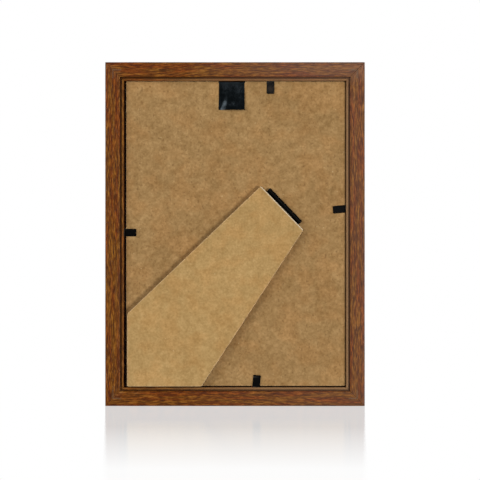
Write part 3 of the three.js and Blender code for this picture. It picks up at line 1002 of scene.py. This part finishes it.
def dress(nodes, material):
    for name in nodes:
        data = frame["nodes"][name].data
        data.materials.clear()
        data.materials.append(material)


def carried_over():
    names = frame["nodes"]
    dress([n for n in names if n.startswith("v_nail")], nail_material)
    dress([n for n in names if n.startswith("tab_root")], tab_material)
    dress([n for n in names if "_tack_" in n] + ["hinge_pin"], pin_material)
    dress(["pull_tab_anchor"], vinyl_material)


# ---- studio --------------------------------------------------------------------------


def floor_material():
    """White, with a faint reflection that fades away from the frame."""
    s = Shading("floor_white")
    x, y = s.split()[:2]
    beside = s.math("SUBTRACT", s.math("ABSOLUTE", x), HALF_WIDTH)
    away = s.math("MAXIMUM", beside, s.math("MAXIMUM", s.math("SUBTRACT", FRONT, y), y))
    shine = s.between(away, 0.13, 0.31, 0.37, 0.03)

    # a satin surface made of tiny facets, each a clean mirror
    tilt = 0.05
    facets = s.node("ShaderNodeTexWhiteNoise", noise_dimensions="3D")
    s.feed(facets.inputs["Vector"], s.position())
    normal = s.vector("MULTIPLY_ADD", facets.outputs["Color"],
                      (tilt, tilt, 0), (-tilt / 2, -tilt / 2, 1))
    gloss = s.node("ShaderNodeBsdfGlossy")
    s.feed(gloss.inputs["Color"], (1, 1, 1, 1))
    s.feed(gloss.inputs["Roughness"], 0.0)
    s.feed(gloss.inputs["Normal"], s.vector("NORMALIZE", normal))
    glow = s.node("ShaderNodeEmission")
    both = s.node("ShaderNodeMixShader")
    for socket, value in zip(both.inputs, (shine, glow.outputs[0], gloss.outputs[0])):
        s.feed(socket, value)
    s.feed(s.tree.nodes["Material Output"].inputs["Surface"], both.outputs[0])
    return s.material


def studio_floor():
    half = 4.0
    height = -0.05 * MM
    corners = [(-half, -half), (half, -half), (half, half), (-half, half)]
    data = bpy.data.meshes.new("floor")
    data.from_pydata([(x, y, height) for x, y in corners], [], [(0, 1, 2, 3)])
    data.materials.append(floor_material())
    floor = bpy.data.objects.new("floor", data)
    bpy.context.scene.collection.objects.link(floor)
    floor.visible_diffuse = False
    floor.visible_shadow = False
    floor.visible_glossy = False


SOFTBOXES = {
    "key": {"place": (-0.60, 1.09, -0.10), "size": 0.30, "watts": 7.0},
    "fill": {"place": (1.3, 1.1, 0.6), "size": 1.0, "watts": 10.0},
    "glint": {"place": (0.76, 1.2, 0.46), "size": 0.42, "watts": 3.0},
    "sheen": {"place": (-0.21, 1.16, 0.3), "size": 0.20, "watts": 1.0},
    "front_key": {"place": (-0.8, -1.2, 1.15), "size": 0.9, "watts": 17.0},
    "front_fill": {"place": (0.95, -1.3, 0.9), "size": 0.9, "watts": 9.0},
}


def softbox(name, place, size, watts):
    """A square area light aimed at the middle of the frame."""
    middle = Vector((0, 0, 0.1))
    light = bpy.data.lights.new(name, "AREA")
    light.shape = "SQUARE"
    light.size = size
    light.energy = watts
    made = bpy.data.objects.new(name, light)
    made.location = place
    made.rotation_euler = (middle - Vector(place)).to_track_quat("-Z", "Y").to_euler()
    bpy.context.scene.collection.objects.link(made)


def room():
    """A dim room that is white where it is seen directly or in the floor."""
    dim = 0.14
    world = bpy.data.worlds.new("studio")
    world.use_nodes = True
    n = Nodes(world.node_tree)
    rays = n.node("ShaderNodeLightPath").outputs
    direct = n.math("MAXIMUM", rays["Is Camera Ray"], rays["Is Singular Ray"])
    background = n.tree.nodes["Background"]
    n.feed(background.inputs["Color"], (1, 1, 1, 1))
    n.feed(background.inputs["Strength"], n.math("MAXIMUM", direct, dim))
    bpy.context.scene.world = world


def studio():
    room()
    studio_floor()
    for name, facts in SOFTBOXES.items():
        softbox(name, **facts)
    bpy.context.scene.view_settings.view_transform = "Standard"


def camera():
    """Looks straight at the back of the frame."""
    view_width = 284.7 * MM
    distance = 1.1
    beside = -2.97 * MM
    height = 98.5 * MM
    data = bpy.data.cameras.new("camera")
    data.sensor_width = 36
    data.lens = data.sensor_width * distance / view_width
    made = bpy.data.objects.new("camera", data)
    made.location = (beside, BACK + distance, height)
    made.rotation_euler = (math.pi / 2, 0, math.pi)
    bpy.context.scene.collection.objects.link(made)
    bpy.context.scene.camera = made


rails()
backing_board()
strut_panel()
hinge()
for wall_name in ("top", "left", "right", "bottom"):
    tab_flap(wall_name)
pull_tab()
face_mount()
coin_tray()
liner_card()
glazing()
carried_over()
studio()
camera()
